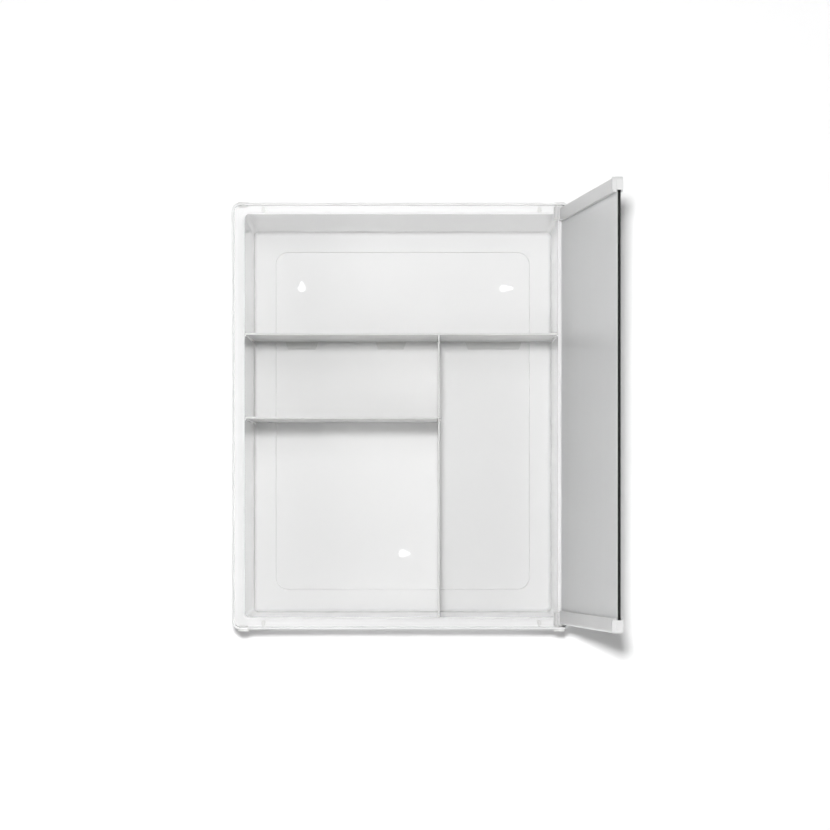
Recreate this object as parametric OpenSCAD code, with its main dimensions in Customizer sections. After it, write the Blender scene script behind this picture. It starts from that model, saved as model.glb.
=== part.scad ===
// Wall-hung medicine cabinet with one mirror door, a moulded body, two shelves and a divider.
// The front faces -Y, the wall plane is Y = 0, and the origin is midway between the two upper keyholes.

/* [Body] */
// Width over the rim
body_w = 358; // [350:1:366]
// Height over the rim
body_h = 450; // [446:1:470]
// Depth from the wall to the front of the rim
body_d = 170; // [150:1:190]
// Wall thickness of the moulding
wall_t = 2.5; // [2.2:0.1:2.8]
// Thickness of the rim's lip
rim_t = 2.3; // [2:0.1:2.5]
// Outer corner radius of the rim
rim_r = 9; // [8:0.5:10]
// How far the ledge lies behind the front of the rim
ledge_depth = 15.5; // [15.5:0.1:17]
// Width of the rim and ledge together at each side
frame_side = 12.9; // [12:0.1:14]
// Width of the rim and ledge together at the top
frame_top = 10.7; // [10:0.1:12]
// Width of the rim and ledge together at the bottom
frame_bottom = 12.1; // [11:0.1:13]
// Corner radius of the mouth
mouth_r = 5; // [4:0.5:6]

/* [Back panel] */
// Width of the sunken field, which bears on the wall behind
field_w = 278; // [260:1:290]
// Height of the sunken field
field_h = 370; // [350:1:380]
// Depth of the step round the field
field_step = 2; // [1:0.1:2.5]

/* [Wall fixing] */
// Distance between the two upper keyholes
key_spacing = 222; // [200:1:230]
// Height of the upper keyholes above the middle of the body
key_rise = 146; // [135:1:150]
// Radius of the two upper keyholes' round ends
key_r = 4; // [3.8:0.1:5]
// Radius of the lower hole
low_hole_r = 4.5; // [4.2:0.1:5]
// Width of the slots that run out of the holes
slot_w = 4.4; // [4:0.1:4.4]

/* [Shelves] */
// Thickness of the shelves and the divider
board_t = 1.8; // [1.5:0.1:2]
// Underside of the top shelf above the middle of the body
top_shelf_z = 87; // [70:1:110]
// Underside of the lower shelf above the middle of the body
lower_shelf_z = -2; // [-30:1:20]
// Middle of the divider from the middle of the body
divider_x = 39.7; // [30:0.1:50]
// How far the shelves' front edge lies behind the ledge
board_setback = 8; // [6:0.5:15]

/* [Door] */
// Thickness of the rails that hold the mirror
door_t = 11; // [11:0.1:11.2]
// Height of a rail
rail_h = 14.8; // [14.5:0.1:15]
// Thickness of the mirror glass
glass_t = 3; // [2.8:0.1:3]
// Angle that the door stands open at, from shut
open_angle = 97; // [0:0.5:97]
// Pivot's distance from the middle of the body
pivot_x = 166.9; // [166.5:0.1:167]
// Pivot's distance in front of the door's inner face
pivot_inset = 2.5; // [2.5:0.1:2.7]
// Radius of the steel pins
pin_r = 2; // [1.5:0.1:2]

/* [Hidden] */

$fn = 64;
hull_fn = 32;                                // segments of the circles inside a hull
tub_fn = 24;                                 // the same for the tub, whose corners are long
slip = 0.05;                                 // clearance of parts that turn or slide in each other
gap = 0.2;                                   // clearance round the loose boards

// Body
ledge_y = -(body_d - ledge_depth);
flange_t = 2.5;                              // thickness of the ledge
lip_r = 3;                                   // rounding of the mouth's edge
lip_lean = 0.1;                              // how far the rounding's centre is moved in
mouth_straight = 4;                          // depth of the mouth before its walls begin to taper
taper_y = ledge_y + mouth_straight;
mouth_w = body_w - 2 * frame_side;
mouth_h = body_h - frame_top - frame_bottom;
mouth_z = (frame_bottom - frame_top) / 2;    // middle of the mouth
side_taper = 3.1;                            // how much each side closes in by the back
top_taper = 7;
bottom_taper = 2.9;
back_w = mouth_w - 2 * side_taper;
back_h = mouth_h - top_taper - bottom_taper;
back_z = mouth_z - (top_taper - bottom_taper) / 2;
back_r = 4;                                  // rounding between the walls and the back
margin_y = -(field_step + wall_t);           // front face of the back panel's margin
field_y = -wall_t;                           // front face of the sunken field
field_r = 12.6;
up_slot = 5;                                 // length of the left keyhole's slot, which runs upwards
side_slot = 8;                               // length of the right keyhole's slot, which runs sideways
low_slot = 6;                                // length of the lower hole's slot

// Boards
board_front_y = ledge_y + board_setback;
divider_left = divider_x - board_t / 2;
divider_right = divider_x + board_t / 2;
rib_t = 1.6;                                 // thickness of the ribs that guide and carry the boards
rib_proud = 1.2;                             // how far a carrying rib stands out of the wall
channel_depth = 3;                           // how far the divider's guide ribs stand out
corner_cut = back_r + 0.5;                   // bevel that keeps a board clear of the rear rounding
tongue_h = 8.4;                              // height of the top shelf's rear tongues
tongue_t = 1.5;
tongue_slope = 3;                            // how much narrower a tongue is at its foot, at each side
tongues = [[-111, 36], [-13, 34], [100, 62]];   // middle and width of each
latch_len = 20;                              // length of the lower shelf's latches
latch_out = 1.2;                             // how far they pass the divider
latch_places = [board_front_y, board_front_y + 100];

// Buffers
buffer_x = 146;
buffer_r = 2.1;
buffer_tip_r = 1.2;                          // radius of the narrow end
buffer_h = 3.9;                              // how far a buffer stands off the ledge
buffer_edge = 0.6;                           // rounding of its edge
buffer_len = 7;                              // length from the round end to the tip
buffer_z = body_h / 2 - rim_t - buffer_len + buffer_r;
stem_r = 1.5;
stem_head = 1.2;                             // length of the stem's head behind the ledge

// Door, drawn shut and then turned about the pivot
door_recess = 0.3;                           // how far the shut door lies behind the rim's front
door_front_y = -(body_d - door_recess);
door_in_y = door_front_y + door_t;
pivot_y = door_in_y - pivot_inset;
rail_z = 205.2 + (body_h - 450) / 2;         // edge of a rail that faces the glass
cap_proud = 1;                               // how far the caps stand past the rails
free_x = -(body_w / 2 - rim_t - 1);          // free end of the door
free_r = 6;                                  // corner radius of the door at its free end
end_plate = 2.5;                             // thickness of a free cap's end plate
rail_x0 = free_x + end_plate;
rail_x1 = pivot_x - 10.5;                    // so that the open rail stands clear of the rim
hinge_end_x = pivot_x + 5.4;
hinge_end_r = 4;                             // rounding of the hinge end, seen from above
hinge_front_r = 4.6;                         // its outer front edge, which passes the corner of the rim
knuckle_r = 5.8;

// Rail section: u runs from the inner face outwards, v from the glass side to the outer edge
rail_u0 = 1.5;                               // how far the rail's inner face stands back from the caps'
chamber_u0 = 2.6;
chamber_u1 = 3.9;
chamber_v = 1.5;                             // wall above and below the chamber
channel_u0 = 4.9;
channel_u1 = 9.5;
channel_v = 12.4;                            // depth of the glass channel
glass_edge_r = 0.6;                          // rounding of the edges towards the glass
rail_edge_r = 1.2;                           // rounding of the outer edges
rail_inner_r = 2.4;                          // the same on the inner side, where it shows
cap_v0 = 2;                                  // how far a cap's end towards the glass stands back
cap_edge_r = 2.4;                            // rounding of a free cap's outer edges
groove_u = 3.4;                              // groove down a free cap's end
groove_w = 0.8;
groove_depth = 0.6;
panel_u = 5.4;                               // shallow panel beside the groove
panel_border = 1.3;
panel_depth = 0.4;
strip_wall = 0.6;
coat_t = 0.1;
film_t = 0.2;
film_margin = 5;                             // bare margin at the free edge of the film
film_u0 = channel_u0 + strip_wall + slip;    // the film's face lies against the glazing strip
coat_u0 = film_u0 + film_t;
glass_u0 = coat_u0 + coat_t;
glass_top_v = channel_v - strip_wall - 2 * slip;
glass_x0 = rail_x0 + 0.3;
glass_x1 = pivot_x + 3.5;

// Hinge
bush_body_r = 3.8;
bush_head_r = 5.8;
bush_collar_r = 4.6;
bush_collar_h = 1.4;                         // height of the collar inside the rim
bush_edge = 0.4;                             // rounding of the head's edge
bush_play = 0.2;                             // gap between the collar and the rim
top_head = 1;                                // height of the upper bushes' heads
bottom_head = 2.2;                           // height of the lower bushes' heads, which carry the door
pin_depth = 9;                               // length of pin inside the door's cap
pin_edge = 0.4;                              // bevel of the pin's end
cap_z = rail_z + rail_h + cap_proud;         // outer end of the door's caps

// ---------- helpers ----------

// Rounded rectangle with its middle at the origin
module rounded(w, h, r) {
    square([w - 2 * r, h], center = true);
    square([w, h - 2 * r], center = true);
    for (x = [-1, 1], z = [-1, 1]) translate([x * (w / 2 - r), z * (h / 2 - r)]) circle(r);
}

// Stands a drawing upright: its y becomes Z and its height runs towards the room
module upright() rotate([90, 0, 0]) children();

// Upright slab between two depths, back first
module slab(w, h, r, y0, y1, z = 0)
    translate([0, y0, z]) upright() linear_extrude(y0 - y1) rounded(w, h, r);

// Carries a profile round a rounded rectangle: profile x points outwards and y along the height
module swept_ring(w, h, r) {
    for (i = [0:3]) rotate(90 * i) {
        a = i % 2 == 0 ? w : h;
        b = i % 2 == 0 ? h : w;
        translate([a / 2, b / 2 - r, 0]) upright() linear_extrude(b - 2 * r) children();
        translate([a / 2 - r, b / 2 - r, 0]) rotate_extrude(angle = 90) translate([r, 0]) children();
    }
}

// Places what is drawn about the middle of the body into the part's frame
module hung() translate([0, 0, -key_rise]) children();

// Turns what is drawn on the shut door to where the door stands
module on_door()
    hung() translate([pivot_x, pivot_y, 0]) rotate(open_angle) translate([-pivot_x, -pivot_y, 0]) children();

// A bar along the door with the section given in u and v
module door_bar(x0, x1)
    translate([x0, door_in_y, rail_z]) rotate([90, 0, 90]) linear_extrude(x1 - x0) mirror([1, 0]) children();

// Draws the lower twin of a piece of the door or the body
module below() mirror([0, 0, 1]) children();

// ---------- body ----------

module rim_section() {
    translate([-rim_t, -flange_t]) square([rim_t, flange_t + ledge_depth - rim_t / 2]);
    translate([-rim_t / 2, ledge_depth - rim_t / 2]) circle(d = rim_t);
}

// Rounded edge of the mouth: the mouth's cut trims what lies at x < 0
module lip_section() {
    translate([-1, -mouth_straight + 0.5]) square([lip_r, mouth_straight - 0.5 - lip_r]);
    intersection() {
        translate([lip_r - lip_lean, -lip_r]) circle(lip_r);
        translate([-1, -mouth_straight + 0.5]) square([lip_r + 1 - lip_lean, mouth_straight]);
    }
    translate([lip_r - lip_lean, -mouth_straight + 0.5]) square([1.5, mouth_straight - 0.5]);
}

// Tapering block with rounded rear edges, used for the outside and the inside of the tub
module tub(grow, rear_y, r)
    hull() {
        slab(mouth_w + 2 * grow, mouth_h + 2 * grow, mouth_r + grow,
             taper_y, taper_y - 0.1, mouth_z, $fn = tub_fn);
        for (a = [0, 45, 90]) {
            inset = r * (1 - cos(a));
            y = rear_y - r * (1 - sin(a));
            slab(back_w + 2 * (grow - inset), back_h + 2 * (grow - inset), mouth_r + grow - inset,
                 y, y - 0.1, back_z, $fn = tub_fn);
        }
    }

// Block with sloping sides for the field's step
module field_block(y0, y1, spread)
    hull() {
        slab(field_w, field_h, field_r, y0, y0 - 0.01, $fn = hull_fn);
        slab(field_w + 2 * spread, field_h + 2 * spread, field_r + spread, y1 + 0.01, y1, $fn = hull_fn);
    }

// Round hole through the field with a slot running out of it at an angle
module keyhole(x, z, r, slot_len, angle)
    translate([x, 1, z]) upright() {
        cylinder(r = r, h = wall_t + 2);
        rotate(angle) {
            translate([0, -slot_w / 2, 0]) cube([slot_len, slot_w, wall_t + 2]);
            translate([slot_len, 0, 0]) cylinder(d = slot_w, h = wall_t + 2);
        }
    }

// Half width between the side walls at a depth
function half_at(y) = mouth_w / 2 - side_taper * (y - taper_y) / (margin_y - taper_y);

// Height of the floor at a depth
function floor_at(y) =
    mouth_z - mouth_h / 2 + bottom_taper * (y - taper_y) / (margin_y - taper_y);

// Rib along the right wall that carries a board whose underside is at z
module carrying_rib(z) {
    wall = wall_t / 2;
    translate([0, 0, z - rib_t]) linear_extrude(rib_t)
        polygon([
            [half_at(board_front_y) - rib_proud, board_front_y + 1],
            [half_at(board_front_y) + wall, board_front_y + 1],
            [half_at(margin_y) + wall, margin_y + 1],
            [half_at(margin_y) - rib_proud, margin_y + 1]
        ]);
}

// Pair of ribs on the back panel that hold the divider's rear edge
module divider_channel()
    for (x = [divider_left - gap - rib_t, divider_right + gap])
        translate([x, field_y - channel_depth, -field_h / 2 + field_r])
            cube([rib_t, channel_depth + 1, top_shelf_z + field_h / 2 - field_r - 0.5]);

// Tub, ledge and rim without the openings
module body_block() {
    tub(wall_t, -field_step, back_r + wall_t);
    slab(mouth_w + 2 * wall_t, mouth_h + 2 * wall_t, mouth_r + wall_t, taper_y + 1, ledge_y + 1, mouth_z);
    field_block(0, -field_step - 1, field_step / 2);
    difference() {
        slab(body_w - rim_t, body_h - rim_t, rim_r - rim_t / 2, ledge_y + flange_t, ledge_y);
        slab(mouth_w + 2 * lip_r, mouth_h + 2 * lip_r, mouth_r + lip_r, ledge_y + 5, ledge_y - 1, mouth_z);
    }
    translate([0, ledge_y, 0]) upright() swept_ring(body_w, body_h, rim_r) rim_section();
    translate([0, ledge_y, mouth_z]) upright() swept_ring(mouth_w, mouth_h, mouth_r) lip_section();
}

module cabinet_shell() color("white") hung() {
    difference() {
        body_block();
        tub(0, margin_y, back_r);
        slab(mouth_w, mouth_h, mouth_r, taper_y, ledge_y - 1, mouth_z);
        field_block(field_y, margin_y - 0.5, field_step / 2);
        keyhole(-key_spacing / 2, key_rise, key_r, up_slot, 90);
        keyhole(key_spacing / 2, key_rise, key_r, side_slot, 0);
        keyhole(0, -key_rise, low_hole_r, low_slot, 0);
        for (x = [-pivot_x, pivot_x])
            translate([x, pivot_y, -body_h]) cylinder(r = bush_body_r + slip, h = 2 * body_h);
        for (x = [-buffer_x, buffer_x], z = [-1, 1])
            translate([x, ledge_y + flange_t, z * buffer_z]) upright() {
                translate([0, 0, -3]) cylinder(r = stem_r + 0.7, h = 3);
                translate([0, 0, -1]) cylinder(r = stem_r + slip, h = flange_t + 2);
            }
    }
    carrying_rib(top_shelf_z);
    mirror([1, 0, 0]) carrying_rib(top_shelf_z);
    mirror([1, 0, 0]) carrying_rib(lower_shelf_z);
    divider_channel();
}

// ---------- boards ----------

// Plan of a board from its front edge back to the step and on to the field, between two sides
module board_plan(left_inner, right_inner) {
    front = board_front_y;
    rear = margin_y - gap;
    left_front = left_inner == undef ? -(half_at(front) - gap) : left_inner;
    left_rear = left_inner == undef ? -(half_at(rear) - gap) : left_inner;
    right_front = right_inner == undef ? half_at(front) - gap : right_inner;
    right_rear = right_inner == undef ? half_at(rear) - gap : right_inner;
    left_cut = left_inner == undef ? corner_cut : 0;
    right_cut = right_inner == undef ? corner_cut : 0;
    polygon([[left_front, front], [right_front, front],
             [right_rear, rear - right_cut], [right_rear - right_cut, rear],
             [left_rear + left_cut, rear], [left_rear, rear - left_cut]]);
    field_right = min(right_rear, field_w / 2 - gap);
    translate([-field_w / 2 + gap, rear - 1]) square([field_right + field_w / 2 - gap, 1 + field_step]);
}

module top_shelf() color("white") hung() {
    translate([0, 0, top_shelf_z]) linear_extrude(board_t) board_plan(undef, undef);
    for (t = tongues)
        translate([t[0], field_y - gap, top_shelf_z - tongue_h]) upright() linear_extrude(tongue_t)
            polygon([[-t[1] / 2 + tongue_slope, 0], [t[1] / 2 - tongue_slope, 0],
                     [t[1] / 2, tongue_h], [-t[1] / 2, tongue_h]]);
}

module divider() color("white") hung()
    difference() {
        translate([divider_left, 0, 0]) rotate([90, 0, 90]) linear_extrude(board_t) {
            top = top_shelf_z - gap;
            rear = margin_y - gap;
            polygon([[board_front_y, floor_at(board_front_y) + gap],
                     [rear - back_r, floor_at(rear) + gap],
                     [rear, floor_at(rear) + gap + back_r],
                     [rear, top], [board_front_y, top]]);
            translate([rear - 1, -field_h / 2 + 1]) square([1 + field_step, top + field_h / 2 - 1]);
        }
        for (y = latch_places)
            translate([divider_left - 1, y - gap, lower_shelf_z - gap])
                cube([board_t + 2, latch_len + 2 * gap, board_t + 2 * gap]);
    }

module lower_shelf() color("white") hung() {
    translate([0, 0, lower_shelf_z]) linear_extrude(board_t) difference() {
        board_plan(undef, divider_left - gap);
        translate([divider_left - 2 * gap - rib_t, field_y - channel_depth - gap])
            square([rib_t + 2 * gap, 2 * channel_depth]);
    }
    for (y = latch_places)
        translate([divider_left - gap - 1, y, lower_shelf_z])
            cube([1 + gap + board_t + latch_out, latch_len, board_t]);
}

// ---------- buffers and bushes ----------

// Drop-shaped cushion on the ledge, with its tip at the rim and a stem through the ledge
module buffer(side)
    translate([side * buffer_x, ledge_y, buffer_z]) upright() {
        hull() {
            cylinder(r = buffer_r, h = buffer_h - buffer_edge, $fn = hull_fn);
            cylinder(r = buffer_r - buffer_edge, h = buffer_h, $fn = hull_fn);
            translate([0, buffer_len - buffer_r - buffer_tip_r, 0])
                cylinder(r = buffer_tip_r, h = buffer_h - 2 * buffer_edge, $fn = hull_fn);
        }
        translate([0, 0, -flange_t - 0.4]) cylinder(r = stem_r, h = flange_t + 1);
        translate([0, 0, -flange_t - stem_head - 0.4])
            cylinder(r1 = stem_r - 0.6, r2 = stem_r + 0.4, h = stem_head);
    }

module buffer_top_left() color("gainsboro") hung() buffer(-1);
module buffer_top_right() color("gainsboro") hung() buffer(1);
module buffer_bottom_left() color("gainsboro") hung() below() buffer(-1);
module buffer_bottom_right() color("gainsboro") hung() below() buffer(1);

// Bush pressed through the rim from outside, with a head outside and a collar inside
module bush(side, head_h)
    translate([side * pivot_x, pivot_y, body_h / 2]) rotate_extrude() difference() {
        union() {
            translate([0, -rim_t - bush_collar_h]) square([bush_body_r, rim_t + bush_collar_h + 0.1]);
            square([bush_head_r - bush_edge, head_h]);
            square([bush_head_r, head_h - bush_edge]);
            translate([bush_head_r - bush_edge, head_h - bush_edge]) circle(bush_edge);
            translate([0, -rim_t - bush_collar_h]) square([bush_collar_r, bush_collar_h - bush_play]);
        }
        translate([0, -rim_t - bush_collar_h - 1])
            square([pin_r + slip, rim_t + bush_collar_h + 1 + head_h / 2]);
    }

module bush_top_right() color("whitesmoke") hung() bush(1, top_head);
module bush_top_left() color("whitesmoke") hung() bush(-1, top_head);
module bush_bottom_right() color("whitesmoke") hung() below() bush(1, bottom_head);
module bush_bottom_left() color("whitesmoke") hung() below() bush(-1, bottom_head);

// ---------- door ----------

// Rectangle in the section of a rail
module cell(u0, u1, v0, v1) translate([u0, v0]) square([u1 - u0, v1 - v0]);

// Bar from the depth u0 to the door's front and from v0 to v1, its outer edge rounded by inner_r and front_r
module rounded_bar(u0, v0, v1, inner_r, front_r) {
    glass_v = v0 + glass_edge_r;
    cell(u0, door_t, glass_v, v1 - max(inner_r, front_r));
    cell(u0 + glass_edge_r, door_t - glass_edge_r, v0, v1 - max(inner_r, front_r));
    cell(u0, door_t - front_r, glass_v, v1 - inner_r);
    cell(u0 + inner_r, door_t, glass_v, v1 - front_r);
    cell(u0 + inner_r, door_t - front_r, glass_v, v1);
    for (u = [u0 + glass_edge_r, door_t - glass_edge_r]) translate([u, glass_v]) circle(glass_edge_r);
    translate([u0 + inner_r, v1 - inner_r]) circle(inner_r);
    translate([door_t - front_r, v1 - front_r]) circle(front_r);
}

module rail_section()
    difference() {
        rounded_bar(rail_u0, 0, rail_h, rail_inner_r, rail_edge_r);
        cell(chamber_u0, chamber_u1, chamber_v, rail_h - chamber_v);
        cell(channel_u0, channel_u1, -1, channel_v);
    }

module rail() door_bar(rail_x0, rail_x1) rail_section();

module glazing_strip()
    door_bar(glass_x0 - 0.2, rail_x1 - slip) difference() {
        cell(channel_u0 + slip, channel_u1 - slip, 0.4, channel_v - slip);
        cell(film_u0 - slip, glass_u0 + glass_t + slip, -1, glass_top_v + slip);
    }

// Sheet of the mirror between two depths, the same at the top and the bottom
module mirror_sheet(u0, t, x0) {
    half = rail_z + glass_top_v;
    translate([x0, door_in_y - u0 - t, -half]) cube([glass_x1 - x0, t, 2 * half]);
}

// Section of a cap, which stands past the rail
module cap_section(inner_r, front_r) rounded_bar(0, cap_v0, rail_h + cap_proud, inner_r, front_r);

// Tongue that plugs into the rail's chamber
module plug(x0, x1)
    door_bar(x0, x1)
        cell(chamber_u0 + slip, chamber_u1 - slip, chamber_v + slip, rail_h - chamber_v - slip);

// The free cap's end is grooved and panelled, and its corner follows the corner of the rim
module free_cap() {
    difference() {
        door_bar(free_x, rail_x0) cap_section(cap_edge_r, cap_edge_r);
        door_bar(free_x - 1, free_x + groove_depth) cell(groove_u, groove_u + groove_w, -1, 2 * rail_h);
        door_bar(free_x - 1, free_x + panel_depth)
            cell(panel_u, door_t - panel_border, cap_v0 + panel_border, rail_h - panel_border);
        translate([free_x + free_r, door_in_y + 1, cap_z - free_r]) upright() difference() {
            translate([-2 * free_r, 0, 0]) cube([2 * free_r, 2 * free_r, door_t + 2]);
            translate([0, 0, -1]) cylinder(r = free_r, h = door_t + 4);
        }
    }
    plug(rail_x0 - 0.5, rail_x0 + 9);
}

// Cap at the hinge end: it holds the pin in a knuckle that stands out of the inner face
module hinge_cap() {
    end_y = door_front_y + hinge_end_r;
    difference() {
        union() {
            door_bar(rail_x1, hinge_end_x - hinge_end_r) cap_section(rail_edge_r, hinge_front_r);
            intersection() {
                door_bar(pivot_x - 1, hinge_end_x) cap_section(rail_edge_r, hinge_front_r);
                union() {
                    translate([hinge_end_x - hinge_end_r, end_y, rail_z])
                        cylinder(r = hinge_end_r, h = 2 * rail_h);
                    translate([pivot_x, end_y, rail_z]) cube([hinge_end_x - pivot_x, door_t, 2 * rail_h]);
                }
            }
            translate([pivot_x, pivot_y, rail_z + cap_v0])
                cylinder(r = knuckle_r, h = rail_h + cap_proud - cap_v0);
        }
        door_bar(rail_x1 - 1, hinge_end_x + 5)
            cell(film_u0 - 0.3, glass_u0 + glass_t + 0.3, -1, glass_top_v + 0.5);
        translate([pivot_x, pivot_y, cap_z - pin_depth - 0.2]) cylinder(r = pin_r + 0.02, h = pin_depth + 1);
    }
    plug(rail_x1 - 12, rail_x1 + 0.5);
}

module hinge_pin(head_h)
    translate([pivot_x, pivot_y, cap_z - pin_depth]) {
        reach = body_h / 2 + head_h / 2 - 0.3 - cap_z + pin_depth;
        cylinder(r = pin_r, h = reach - pin_edge);
        translate([0, 0, reach - pin_edge]) cylinder(r1 = pin_r, r2 = pin_r - pin_edge, h = pin_edge);
    }

module mirror_glass() color("lightcyan") on_door() mirror_sheet(glass_u0, glass_t, glass_x0);
module silver_coating() color("silver") on_door() mirror_sheet(coat_u0, coat_t, glass_x0);
module backing_film() color("lightgray") on_door() mirror_sheet(film_u0, film_t, glass_x0 + film_margin);
module top_rail() color("white") on_door() rail();
module bottom_rail() color("white") on_door() below() rail();
module top_glazing_strip() color("gray") on_door() glazing_strip();
module bottom_glazing_strip() color("gray") on_door() below() glazing_strip();
module top_free_cap() color("white") on_door() free_cap();
module bottom_free_cap() color("white") on_door() below() free_cap();
module top_hinge_cap() color("white") on_door() hinge_cap();
module bottom_hinge_cap() color("white") on_door() below() hinge_cap();
module top_hinge_pin() color("silver") on_door() hinge_pin(top_head);
module bottom_hinge_pin() color("silver") on_door() below() hinge_pin(bottom_head);

cabinet_shell();
top_shelf();
divider();
lower_shelf();
buffer_top_left();
buffer_top_right();
buffer_bottom_left();
buffer_bottom_right();
bush_top_right();
bush_bottom_right();
bush_top_left();
bush_bottom_left();
mirror_glass();
silver_coating();
backing_film();
top_rail();
bottom_rail();
top_glazing_strip();
bottom_glazing_strip();
top_free_cap();
bottom_free_cap();
top_hinge_cap();
bottom_hinge_cap();
top_hinge_pin();
bottom_hinge_pin();
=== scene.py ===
"""Looks of a wall-hung cabinet with one mirror door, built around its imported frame. Units are metres."""

import math

import bmesh
import bpy
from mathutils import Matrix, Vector


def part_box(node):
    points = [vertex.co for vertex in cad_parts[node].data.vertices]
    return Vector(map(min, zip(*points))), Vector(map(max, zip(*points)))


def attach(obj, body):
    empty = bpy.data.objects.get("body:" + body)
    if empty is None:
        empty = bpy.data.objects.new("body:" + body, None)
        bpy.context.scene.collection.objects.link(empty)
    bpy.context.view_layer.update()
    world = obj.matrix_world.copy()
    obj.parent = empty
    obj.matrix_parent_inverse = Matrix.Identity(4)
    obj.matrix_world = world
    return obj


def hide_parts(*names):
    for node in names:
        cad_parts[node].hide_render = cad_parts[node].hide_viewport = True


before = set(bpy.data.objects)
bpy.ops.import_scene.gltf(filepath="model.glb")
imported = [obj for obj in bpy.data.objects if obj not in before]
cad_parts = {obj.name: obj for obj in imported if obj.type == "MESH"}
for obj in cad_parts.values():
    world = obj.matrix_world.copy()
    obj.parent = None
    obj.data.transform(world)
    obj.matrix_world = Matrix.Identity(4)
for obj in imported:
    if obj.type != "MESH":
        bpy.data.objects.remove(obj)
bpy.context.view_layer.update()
MM = 0.001

SHELL_LO, SHELL_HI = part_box("cabinet_shell")
MIDDLE = (SHELL_LO + SHELL_HI) / 2
WALL_Y = SHELL_HI.y
DOOR_LEAN = math.radians(7)  # how far the open door stands past square


# ---------- material helpers ----------

def new_material(name):
    """Material with a Principled shader: (material, node tree, shader)."""
    material = bpy.data.materials.new(name)
    material.use_nodes = True
    tree = material.node_tree
    return material, tree, tree.nodes["Principled BSDF"]


def place_in_part(tree, stretch=(1, 1, 1)):
    """Coordinates that stay on the part, in metres, stretched along its axes."""
    coordinates = tree.nodes.new("ShaderNodeTexCoord")
    mapping = tree.nodes.new("ShaderNodeMapping")
    mapping.inputs["Scale"].default_value = stretch
    tree.links.new(coordinates.outputs["Object"], mapping.inputs["Vector"])
    return mapping.outputs["Vector"]


def noise(tree, vector, size, detail=3.0, roughness=0.55):
    """Noise whose cells are about size metres across."""
    node = tree.nodes.new("ShaderNodeTexNoise")
    node.inputs["Scale"].default_value = 1 / size
    node.inputs["Detail"].default_value = detail
    node.inputs["Roughness"].default_value = roughness
    tree.links.new(vector, node.inputs["Vector"])
    return node.outputs["Fac"]


def spread(tree, value, low, high):
    """Maps the middle of a noise to the range from low to high."""
    node = tree.nodes.new("ShaderNodeMapRange")
    node.inputs["From Min"].default_value = 0.3
    node.inputs["From Max"].default_value = 0.7
    node.inputs["To Min"].default_value = low
    node.inputs["To Max"].default_value = high
    tree.links.new(value, node.inputs["Value"])
    return node.outputs["Result"]


def blend_colours(tree, value, first, second):
    """Colour between first and second, by a value from 0 to 1."""
    node = tree.nodes.new("ShaderNodeMix")
    node.data_type = "RGBA"
    node.inputs["A"].default_value = (*first, 1)
    node.inputs["B"].default_value = (*second, 1)
    tree.links.new(value, node.inputs["Factor"])
    return node.outputs["Result"]


def bump(tree, height, depth, under=None):
    """Bump of depth metres from a height of 0 to 1, over another bump if there is one."""
    node = tree.nodes.new("ShaderNodeBump")
    node.inputs["Strength"].default_value = 1
    node.inputs["Distance"].default_value = depth
    tree.links.new(height, node.inputs["Height"])
    if under is not None:
        tree.links.new(under, node.inputs["Normal"])
    return node.outputs["Normal"]


# ---------- materials ----------

def moulded_plastic(name, light, dark, gloss, grain, grain_depth, ripple_depth=6e-7):
    """White moulded plastic: faint clouding, fine tool grain, and the slow ripple of a cooled wall."""
    material, tree, shader = new_material(name)
    place = place_in_part(tree)
    clouds = noise(tree, place, 0.09, detail=4)
    tone = blend_colours(tree, spread(tree, clouds, 0, 1), light, dark)
    tree.links.new(tone, shader.inputs["Base Color"])
    tree.links.new(spread(tree, noise(tree, place, 0.03), *gloss), shader.inputs["Roughness"])
    fine = bump(tree, noise(tree, place, grain, detail=2), grain_depth)
    slow = bump(tree, noise(tree, place, 0.025, detail=1), ripple_depth, fine)
    tree.links.new(slow, shader.inputs["Normal"])
    shader.inputs["IOR"].default_value = 1.49
    return material


def extruded_plastic(name, light, dark, lean):
    """White extruded profile: faint die lines along its length, which leans from Y by an angle about Z."""
    material, tree, shader = new_material(name)
    place = place_in_part(tree)
    along = tree.nodes.new("ShaderNodeMapping")
    along.vector_type = "TEXTURE"
    along.inputs["Rotation"].default_value = (0, 0, lean)
    along.inputs["Scale"].default_value = (1, 80, 1)
    tree.links.new(place, along.inputs["Vector"])
    lines = noise(tree, along.outputs["Vector"], 0.0009, detail=3)
    tone = blend_colours(tree, spread(tree, lines, 0, 1), light, dark)
    tree.links.new(tone, shader.inputs["Base Color"])
    tree.links.new(spread(tree, noise(tree, place, 0.05, detail=1), 0.29, 0.31), shader.inputs["Roughness"])
    tree.links.new(bump(tree, lines, 4e-7), shader.inputs["Normal"])
    shader.inputs["IOR"].default_value = 1.5
    return material


def float_glass(name):
    """Clear float glass with a green body colour that darkens along the sheet."""
    material, tree, shader = new_material(name)
    place = place_in_part(tree)
    shader.inputs["Base Color"].default_value = (1, 1, 1, 1)
    shader.inputs["Transmission Weight"].default_value = 1
    shader.inputs["IOR"].default_value = 1.52
    tree.links.new(spread(tree, noise(tree, place, 0.05), 0.0, 0.02), shader.inputs["Roughness"])
    absorption = tree.nodes.new("ShaderNodeVolumeAbsorption")
    absorption.inputs["Color"].default_value = (0.62, 0.90, 0.80, 1)
    absorption.inputs["Density"].default_value = 45
    output = tree.nodes["Material Output"]
    tree.links.new(absorption.outputs["Volume"], output.inputs["Volume"])
    return material


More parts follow.
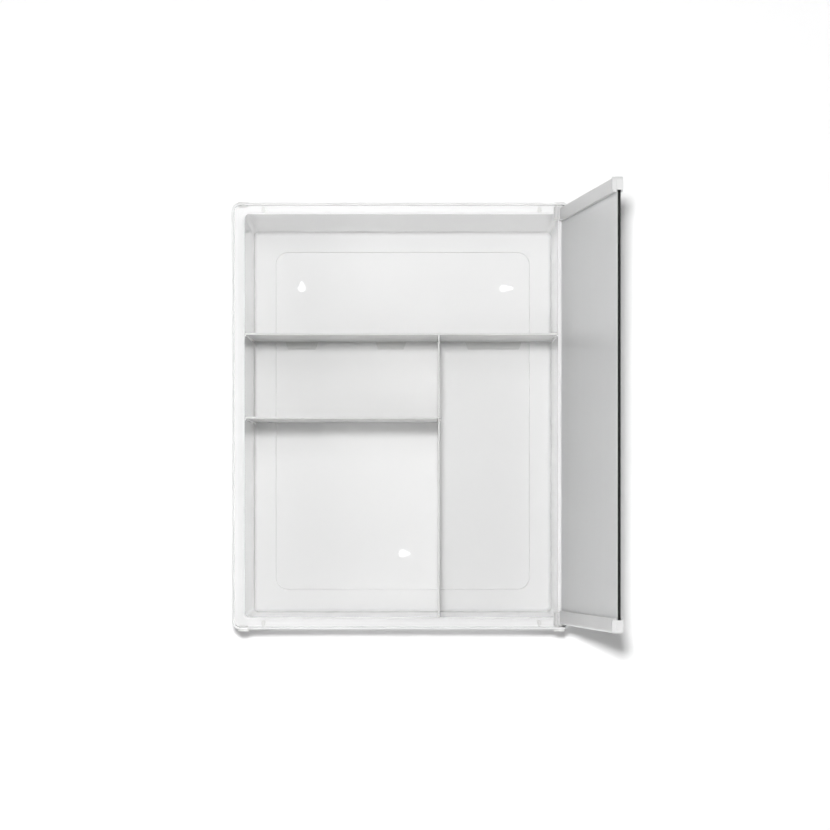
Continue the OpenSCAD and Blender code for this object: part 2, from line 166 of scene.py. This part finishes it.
def silvering(name):
    """Mirror silver, with the faint unevenness of its deposit."""
    material, tree, shader = new_material(name)
    place = place_in_part(tree)
    clouds = noise(tree, place, 0.12)
    tone = blend_colours(tree, spread(tree, clouds, 0, 1), (0.93, 0.94, 0.94), (0.91, 0.925, 0.925))
    tree.links.new(tone, shader.inputs["Base Color"])
    shader.inputs["Metallic"].default_value = 1
    tree.links.new(spread(tree, noise(tree, place, 0.02), 0.01, 0.025), shader.inputs["Roughness"])
    return material


def backing_paint(name):
    """Grey-green paint that seals the back of the silver: rolled on, satin, slightly mottled."""
    material, tree, shader = new_material(name)
    place = place_in_part(tree)
    mottle = noise(tree, place, 0.0035, detail=4)
    tone = blend_colours(tree, spread(tree, mottle, 0, 1), (0.60, 0.64, 0.60), (0.64, 0.675, 0.64))
    tree.links.new(tone, shader.inputs["Base Color"])
    tree.links.new(spread(tree, mottle, 0.28, 0.40), shader.inputs["Roughness"])
    tree.links.new(bump(tree, mottle, 4e-6), shader.inputs["Normal"])
    return material


def satin_film(name):
    """Light grey safety film: pressed grain, faint roller marks and a satin shine."""
    material, tree, shader = new_material(name)
    place = place_in_part(tree)
    roller = noise(tree, place_in_part(tree, (1, 1, 0.04)), 0.012, detail=2)
    grain = noise(tree, place, 0.0006, detail=2)
    tone = blend_colours(tree, spread(tree, roller, 0, 1), (0.725, 0.732, 0.736), (0.733, 0.74, 0.743))
    tree.links.new(tone, shader.inputs["Base Color"])
    tree.links.new(spread(tree, noise(tree, place, 0.05, detail=1), 0.33, 0.35), shader.inputs["Roughness"])
    pressed = bump(tree, grain, 2e-6)
    tree.links.new(bump(tree, roller, 3e-7, pressed), shader.inputs["Normal"])
    return material


def soft_strip(name):
    """Grey sealing strip with a matt, slightly uneven skin."""
    material, tree, shader = new_material(name)
    place = place_in_part(tree)
    mottle = noise(tree, place, 0.004)
    tone = blend_colours(tree, spread(tree, mottle, 0, 1), (0.30, 0.31, 0.32), (0.36, 0.37, 0.38))
    tree.links.new(tone, shader.inputs["Base Color"])
    tree.links.new(spread(tree, noise(tree, place, 0.002), 0.6, 0.75), shader.inputs["Roughness"])
    tree.links.new(bump(tree, noise(tree, place, 0.0005), 3e-5), shader.inputs["Normal"])
    return material


def turned_steel(name):
    """Steel pin with the fine rings of a lathe."""
    material, tree, shader = new_material(name)
    rings = noise(tree, place_in_part(tree, (0.05, 0.05, 1)), 0.00012, detail=2)
    tone = blend_colours(tree, spread(tree, rings, 0, 1), (0.55, 0.55, 0.56), (0.68, 0.68, 0.69))
    tree.links.new(tone, shader.inputs["Base Color"])
    shader.inputs["Metallic"].default_value = 1
    tree.links.new(spread(tree, rings, 0.22, 0.36), shader.inputs["Roughness"])
    tree.links.new(bump(tree, rings, 6e-6), shader.inputs["Normal"])
    return material


# ---------- pieces ----------

SMOOTH_ANGLE = math.radians(50)   # a sharper edge than this stays sharp
FLAT_ANGLE = math.radians(0.4)    # faces closer than this become one
EASED_ANGLE = math.radians(35)    # a sharper edge than this is eased
SAME_PLACE = 2e-6                 # vertices closer than this become one
LARGE_FACE = 0.01                 # area of a face that can only be the sheet's front or back


def finished(node, body, material, edge=0.0, segments=2, smooth=SMOOTH_ANGLE):
    """Finished copy of a CAD node: flat faces joined, edges eased by edge metres, curves smooth."""
    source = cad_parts[node]
    mesh = source.data.copy()
    mesh.name = node + "_finished"
    mesh.materials.clear()
    mesh.materials.append(material)
    if "custom_normal" in mesh.attributes:
        mesh.attributes.remove(mesh.attributes["custom_normal"])
    work = bmesh.new()
    work.from_mesh(mesh)
    bmesh.ops.remove_doubles(work, verts=work.verts, dist=SAME_PLACE)
    bmesh.ops.dissolve_limit(work, angle_limit=FLAT_ANGLE, verts=work.verts, edges=work.edges)
    for face in work.faces:
        face.smooth = True
        face.material_index = 0
    for line in work.edges:
        line.smooth = not (line.is_manifold and line.calc_face_angle(0) > smooth)
    work.to_mesh(mesh)
    work.free()
    piece = bpy.data.objects.new(node + "_finished", mesh)
    bpy.context.scene.collection.objects.link(piece)
    if edge > 0:
        eased = piece.modifiers.new("eased edges", "BEVEL")
        eased.width = edge
        eased.segments = segments
        eased.limit_method = "ANGLE"
        eased.angle_limit = EASED_ANGLE
        eased.miter_outer = "MITER_ARC"
        eased.use_clamp_overlap = True
    weighted = piece.modifiers.new("flat faces stay flat", "WEIGHTED_NORMAL")
    weighted.keep_sharp = edge == 0
    weighted.weight = 80
    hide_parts(node)
    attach(piece, body)
    return piece


def paint_all_but(piece, material, towards):
    """Gives every face of the piece a second material, apart from those that face the middle of a box."""
    piece.data.materials.append(material)
    centre = (towards[0] + towards[1]) / 2
    for face in piece.data.polygons:
        large = face.area > LARGE_FACE
        if not large or face.normal.dot(centre - face.center) < 0:
            face.material_index = 1


def sink_into(piece, target, depth):
    """Pushes the piece's large face that meets the target into it by depth, so that they share no plane."""
    centre = (target[0] + target[1]) / 2
    for face in piece.data.polygons:
        if face.area > LARGE_FACE and face.normal.dot(centre - face.center) > 0:
            step = face.normal * depth
            for corner in face.vertices:
                piece.data.vertices[corner].co += step


shell_plastic = moulded_plastic("shell_plastic", (0.935, 0.935, 0.935), (0.925, 0.925, 0.925),
                                gloss=(0.10, 0.115), grain=0.0012, grain_depth=5e-7)
# The boards are the shell's white plastic, given a darker colour as painted shade so that their undersides
# read dark
board_plastic = moulded_plastic("board_plastic", (0.83, 0.83, 0.82), (0.815, 0.815, 0.805),
                                gloss=(0.17, 0.22), grain=0.0009, grain_depth=8e-7)
buffer_plastic = moulded_plastic("buffer_plastic", (0.82, 0.82, 0.81), (0.79, 0.79, 0.78),
                                 gloss=(0.45, 0.6), grain=0.0006, grain_depth=3e-6)
bush_plastic = moulded_plastic("bush_plastic", (0.83, 0.83, 0.82), (0.80, 0.80, 0.79),
                               gloss=(0.38, 0.5), grain=0.0006, grain_depth=3e-6)
cap_plastic = moulded_plastic("cap_plastic", (0.74, 0.74, 0.74), (0.72, 0.72, 0.72),
                              gloss=(0.22, 0.30), grain=0.0007, grain_depth=1.5e-6)
# The rails are white plastic, given a grey colour as painted shade for their inward faces, which stand in
# shade
rail_plastic = extruded_plastic("rail_plastic", (0.63, 0.63, 0.63), (0.615, 0.615, 0.615), DOOR_LEAN)
glass = float_glass("glass")
mirror_silver = silvering("silvering")
paint = backing_paint("backing_paint")
film = satin_film("backing_film")
strip_rubber = soft_strip("glazing_strip")
pin_steel = turned_steel("pin_steel")

finished("cabinet_shell", "body", shell_plastic)
for board in ("top_shelf", "divider", "lower_shelf"):
    finished(board, "body", board_plastic, edge=0.35 * MM)
for height in ("top", "bottom"):
    for side in ("left", "right"):
        finished(f"buffer_{height}_{side}", "body", buffer_plastic)
        finished(f"bush_{height}_{side}", "body", bush_plastic)
    finished(height + "_rail", "door", rail_plastic)
    finished(height + "_glazing_strip", "door", strip_rubber, edge=0.1 * MM)
    finished(height + "_free_cap", "door", cap_plastic, edge=0.15 * MM)
    finished(height + "_hinge_cap", "door", cap_plastic)
    finished(height + "_hinge_pin", "door", pin_steel)
finished("mirror_glass", "door", glass, edge=0.4 * MM, segments=1)
coating = finished("silver_coating", "door", mirror_silver)
paint_all_but(coating, paint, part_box("mirror_glass"))
sink_into(coating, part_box("mirror_glass"), depth=0.02 * MM)
finished("backing_film", "door", film)


# ---------- stage ----------

def sheet_object(name, corners, material):
    """One flat sheet through four corners."""
    mesh = bpy.data.meshes.new(name)
    mesh.from_pydata(corners, [], [tuple(range(len(corners)))])
    mesh.materials.append(material)
    piece = bpy.data.objects.new(name, mesh)
    bpy.context.scene.collection.objects.link(piece)
    return piece


def stage_material(name, colour, glow, one_sided):
    """Plain pale surface that looks lit by a glow but lights nothing by it. A one-sided one is clear from
    behind and casts no shadow."""
    material, tree, shader = new_material(name)
    shader.inputs["Base Color"].default_value = (*colour, 1)
    shader.inputs["Roughness"].default_value = 0.9
    shader.inputs["Specular IOR Level"].default_value = 0.2
    shader.inputs["Emission Color"].default_value = (1, 1, 1, 1)
    path = tree.nodes.new("ShaderNodeLightPath")
    strength = tree.nodes.new("ShaderNodeMix")
    strength.inputs["A"].default_value = glow
    strength.inputs["B"].default_value = 0
    tree.links.new(path.outputs["Is Diffuse Ray"], strength.inputs["Factor"])
    tree.links.new(strength.outputs["Result"], shader.inputs["Emission Strength"])
    if one_sided:
        geometry = tree.nodes.new("ShaderNodeNewGeometry")
        clear = tree.nodes.new("ShaderNodeBsdfTransparent")
        choose = tree.nodes.new("ShaderNodeMixShader")
        either = tree.nodes.new("ShaderNodeMath")
        either.operation = "MAXIMUM"
        tree.links.new(geometry.outputs["Backfacing"], either.inputs[0])
        tree.links.new(path.outputs["Is Shadow Ray"], either.inputs[1])
        tree.links.new(either.outputs["Value"], choose.inputs["Fac"])
        tree.links.new(shader.outputs["BSDF"], choose.inputs[1])
        tree.links.new(clear.outputs["BSDF"], choose.inputs[2])
        tree.links.new(choose.outputs["Shader"], tree.nodes["Material Output"].inputs["Surface"])
    return material


FLOOR_Z = -1.55    # as far below the cabinet as a bathroom's floor
STAGE_HALF = 6.0
WALL_TOP = 2.5
wall_y = WALL_Y + 0.5 * MM  # just behind the body
backdrop = sheet_object("backdrop", [(-STAGE_HALF, wall_y, FLOOR_Z), (STAGE_HALF, wall_y, FLOOR_Z),
                                     (STAGE_HALF, wall_y, WALL_TOP), (-STAGE_HALF, wall_y, WALL_TOP)],
                        stage_material("backdrop", (0.9, 0.9, 0.9), glow=0.02, one_sided=True))
sheet_object("floor", [(-STAGE_HALF, -2 * STAGE_HALF, FLOOR_Z), (STAGE_HALF, -2 * STAGE_HALF, FLOOR_Z),
                       (STAGE_HALF, STAGE_HALF, FLOOR_Z), (-STAGE_HALF, STAGE_HALF, FLOOR_Z)],
             stage_material("floor", (0.82, 0.82, 0.82), glow=0.5, one_sided=False))


# ---------- camera and light ----------

def light_group(name, thing, state):
    """Collection that tells a light to reach only the thing (INCLUDE) or all but it (EXCLUDE)."""
    group = bpy.data.collections.new(name)
    group.objects.link(thing)
    group.collection_objects[0].light_linking.link_state = state
    return group


def area_light(name, place, size, power, reach):
    """Soft square light of size metres that faces the cabinet. Mirrors show the studio and not the lamp."""
    data = bpy.data.lights.new(name, "AREA")
    data.shape = "SQUARE"
    data.size = size
    data.energy = power
    light = bpy.data.objects.new(name, data)
    light.location = MIDDLE + Vector(place)
    light.rotation_euler = (-Vector(place)).to_track_quat("-Z", "Y").to_euler()
    light.light_linking.receiver_collection = reach
    light.visible_glossy = False
    light.visible_transmission = False
    bpy.context.scene.collection.objects.link(light)
    return light


def studio_world(soft, low, high):
    """Surround that lights with the strength soft, and is seen and mirrored as a rise from low to high."""
    world = bpy.data.worlds.new("studio")
    world.use_nodes = True
    tree = world.node_tree
    coordinates = tree.nodes.new("ShaderNodeTexCoord")
    direction = tree.nodes.new("ShaderNodeSeparateXYZ")
    rise = tree.nodes.new("ShaderNodeMapRange")
    rise.inputs["From Min"].default_value = -0.6
    rise.inputs["From Max"].default_value = 0.8
    rise.inputs["To Min"].default_value = low
    rise.inputs["To Max"].default_value = high
    rise.interpolation_type = "SMOOTHSTEP"
    path = tree.nodes.new("ShaderNodeLightPath")
    strength = tree.nodes.new("ShaderNodeMix")
    strength.inputs["B"].default_value = soft
    background = tree.nodes["Background"]
    background.inputs["Color"].default_value = (1, 1, 1, 1)
    tree.links.new(coordinates.outputs["Generated"], direction.inputs["Vector"])
    tree.links.new(direction.outputs["Z"], rise.inputs["Value"])
    tree.links.new(path.outputs["Is Diffuse Ray"], strength.inputs["Factor"])
    tree.links.new(rise.outputs["Result"], strength.inputs["A"])
    tree.links.new(strength.outputs["Result"], background.inputs["Strength"])
    bpy.context.scene.world = world
    return world


for_backdrop = light_group("only the backdrop", backdrop, "INCLUDE")
for_cabinet = light_group("all but the backdrop", backdrop, "EXCLUDE")
area_light("wall_light", (-0.008, -3.83, 0.05), size=0.12, power=140, reach=for_backdrop)
area_light("front_light", (0, -2.4, 0.21), size=0.16, power=27.5, reach=for_cabinet)
area_light("left_light", (-1.9, -2.7, -0.2), size=1.0, power=13, reach=for_cabinet)
area_light("right_light", (1.9, -2.7, 0.45), size=1.0, power=11, reach=for_cabinet)
area_light("top_light", (0, -3.2, 0.75), size=0.4, power=5.5, reach=for_cabinet)
area_light("back_light", (0, 3.0, 0.6), size=1.5, power=15, reach=for_cabinet)
studio_world(soft=0.07, low=0.52, high=0.9)
bpy.context.scene.view_settings.view_transform = "Standard"

CAMERA_PLACE = Vector((0.0367, -3.855, -0.1203))  # from the middle of the body
camera_data = bpy.data.cameras.new("camera")
camera_data.lens = 155.06
camera_data.shift_x = -0.0253
camera_data.shift_y = 0.1386
camera = bpy.data.objects.new("camera", camera_data)
camera.location = MIDDLE + CAMERA_PLACE
camera.rotation_euler = (math.radians(90), 0, 0)
bpy.context.scene.collection.objects.link(camera)
bpy.context.scene.camera = camera
